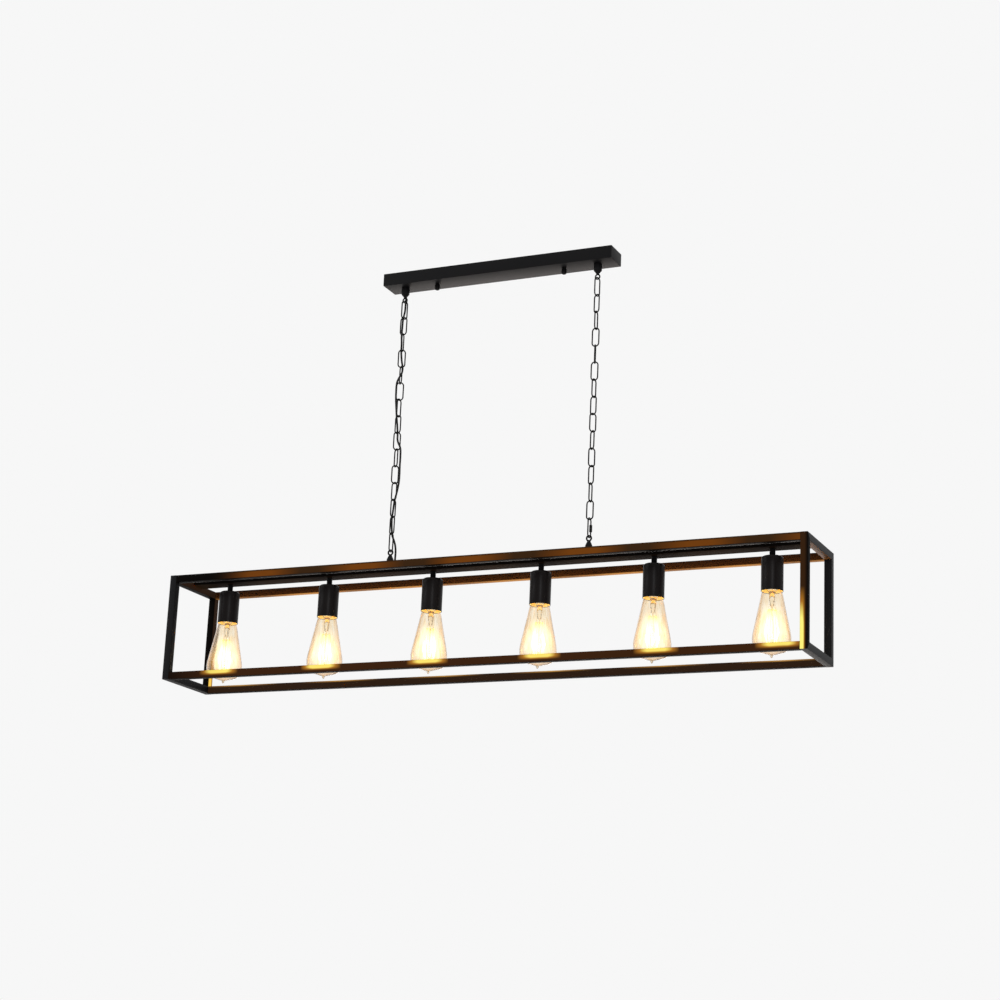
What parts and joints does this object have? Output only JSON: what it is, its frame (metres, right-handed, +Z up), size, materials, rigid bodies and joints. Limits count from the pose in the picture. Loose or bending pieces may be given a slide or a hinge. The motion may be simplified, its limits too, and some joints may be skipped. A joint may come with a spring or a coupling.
{
  "type": "linear island pendant",
  "caption": "Box-frame pendant light hung by two chains from a long narrow ceiling canopy, with a row of covered lampholders and teardrop filament lamps.",
  "frame": {"origin": "on the ceiling, over the middle of the canopy, at the top face of the ceiling bracket", "axes": "+Z up into the ceiling, +X along the frame's length, -Y towards the side that the picture shows"},
  "size_m": [1.2, 0.149, 0.7525],
  "materials": {
    "black_powder_coat": "fine satin black powder coat on steel",
    "black_chain": "satin black lacquer on steel wire",
    "zinc_plated_steel": "bright zinc plate",
    "terminal_porcelain": "white glazed porcelain",
    "lampholder_porcelain": "white glazed porcelain with a brass shell",
    "bulb_cap_brass": "rolled brass thread",
    "bulb_glass": "clear amber-tinted lamp glass",
    "black_nylon": "moulded black nylon",
    "black_cord": "black fabric-covered flex"
  },
  "bodies": {
    "canopy": {"ceiling_bracket": "zinc_plated_steel", "canopy_cover": "black_powder_coat", "mounting_stud_left": "zinc_plated_steel", "mounting_stud_right": "zinc_plated_steel", "terminal_block": "terminal_porcelain", "canopy_loop_left": "black_powder_coat", "canopy_loop_right": "black_powder_coat", "loop_nut_left": "zinc_plated_steel", "loop_nut_right": "zinc_plated_steel", "cord_gland": "black_nylon"},
    "left_cap_nut": {"cap_nut_left": "black_powder_coat"},
    "right_cap_nut": {"cap_nut_right": "black_powder_coat"},
    "left_top_link": {"top_link_left": "black_chain"},
    "right_top_link": {"top_link_right": "black_chain"},
    "left_chain": {"chain_left": "black_chain", "cord_upper": "black_cord", "cord_lower": "black_cord"},
    "right_chain": {"chain_right": "black_chain"},
    "left_bottom_link": {"bottom_link_left": "black_chain"},
    "right_bottom_link": {"bottom_link_right": "black_chain"},
    "cage": {"near_top_rail": "black_powder_coat", "far_top_rail": "black_powder_coat", "near_bottom_rail": "black_powder_coat", "far_bottom_rail": "black_powder_coat", "left_end_frame": "black_powder_coat", "right_end_frame": "black_powder_coat", "lamp_bar": "black_powder_coat", "bar_loop_left": "black_powder_coat", "bar_loop_right": "black_powder_coat", "cord_grommet": "black_nylon", "stem_1": "black_powder_coat", "socket_cover_1": "black_powder_coat", "lampholder_1": "lampholder_porcelain", "stem_2": "black_powder_coat", "socket_cover_2": "black_powder_coat", "lampholder_2": "lampholder_porcelain", "stem_3": "black_powder_coat", "socket_cover_3": "black_powder_coat", "lampholder_3": "lampholder_porcelain", "stem_4": "black_powder_coat", "socket_cover_4": "black_powder_coat", "lampholder_4": "lampholder_porcelain", "stem_5": "black_powder_coat", "socket_cover_5": "black_powder_coat", "lampholder_5": "lampholder_porcelain", "stem_6": "black_powder_coat", "socket_cover_6": "black_powder_coat", "lampholder_6": "lampholder_porcelain"},
    "bulb_1": {"bulb_cap_1": "bulb_cap_brass", "bulb_glass_1": "bulb_glass"},
    "bulb_2": {"bulb_cap_2": "bulb_cap_brass", "bulb_glass_2": "bulb_glass"},
    "bulb_3": {"bulb_cap_3": "bulb_cap_brass", "bulb_glass_3": "bulb_glass"},
    "bulb_4": {"bulb_cap_4": "bulb_cap_brass", "bulb_glass_4": "bulb_glass"},
    "bulb_5": {"bulb_cap_5": "bulb_cap_brass", "bulb_glass_5": "bulb_glass"},
    "bulb_6": {"bulb_cap_6": "bulb_cap_brass", "bulb_glass_6": "bulb_glass"}
  },
  "joints": [
    {"name": "sway_across", "type": "hinge", "parent": "canopy", "child": "left_top_link", "pos_m": [-0.1905, 0, -0.0513], "axis": [1, 0, 0], "range_deg": [-30, 30]},
    {"name": "right_sway_across", "type": "hinge", "parent": "canopy", "child": "right_top_link", "pos_m": [0.1905, 0, -0.0513], "axis": [1, 0, 0], "range_deg": [-30, 30]},
    {"name": "sway_along", "type": "hinge", "parent": "left_top_link", "child": "left_chain", "pos_m": [-0.1905, 0, -0.08315], "axis": [0, 1, 0], "range_deg": [-30, 30], "deforming": ["cord_upper", "cord_lower"]},
    {"name": "right_sway_along", "type": "hinge", "parent": "right_top_link", "child": "right_chain", "pos_m": [0.1905, 0, -0.08315], "axis": [0, 1, 0], "range_deg": [-30, 30]},
    {"name": "left_level", "type": "hinge", "parent": "left_chain", "child": "left_bottom_link", "pos_m": [-0.1905, 0, -0.48935], "axis": [0, 1, 0], "range_deg": [-30, 30]},
    {"name": "right_level", "type": "hinge", "parent": "right_chain", "child": "right_bottom_link", "pos_m": [0.1905, 0, -0.48935], "axis": [0, 1, 0], "range_deg": [-30, 30]},
    {"name": "cage_roll", "type": "hinge", "parent": "left_bottom_link", "child": "cage", "pos_m": [-0.1905, 0, -0.521], "axis": [1, 0, 0], "range_deg": [-30, 30]},
    {"name": "left_nut_turn", "type": "hinge", "parent": "canopy", "child": "left_cap_nut", "pos_m": [-0.1255, 0, -0.0233], "axis": [0, 0, 1], "continuous": true},
    {"name": "right_nut_turn", "type": "hinge", "parent": "canopy", "child": "right_cap_nut", "pos_m": [0.1255, 0, -0.0233], "axis": [0, 0, 1], "continuous": true},
    {"name": "bulb_1_out", "type": "slide", "parent": "cage", "child": "bulb_1", "axis": [0, 0, -1], "range_m": [0, 0.026]},
    {"name": "bulb_2_out", "type": "slide", "parent": "cage", "child": "bulb_2", "axis": [0, 0, -1], "range_m": [0, 0.026]},
    {"name": "bulb_3_out", "type": "slide", "parent": "cage", "child": "bulb_3", "axis": [0, 0, -1], "range_m": [0, 0.026]},
    {"name": "bulb_4_out", "type": "slide", "parent": "cage", "child": "bulb_4", "axis": [0, 0, -1], "range_m": [0, 0.026]},
    {"name": "bulb_5_out", "type": "slide", "parent": "cage", "child": "bulb_5", "axis": [0, 0, -1], "range_m": [0, 0.026]},
    {"name": "bulb_6_out", "type": "slide", "parent": "cage", "child": "bulb_6", "axis": [0, 0, -1], "range_m": [0, 0.026]}
  ],
  "couplings": [
    {"joint": "right_sway_across", "follows": "sway_across", "ratio": 1},
    {"joint": "right_sway_along", "follows": "sway_along", "ratio": 1},
    {"joint": "left_level", "follows": "sway_along", "ratio": -1},
    {"joint": "right_level", "follows": "sway_along", "ratio": -1}
  ]
}
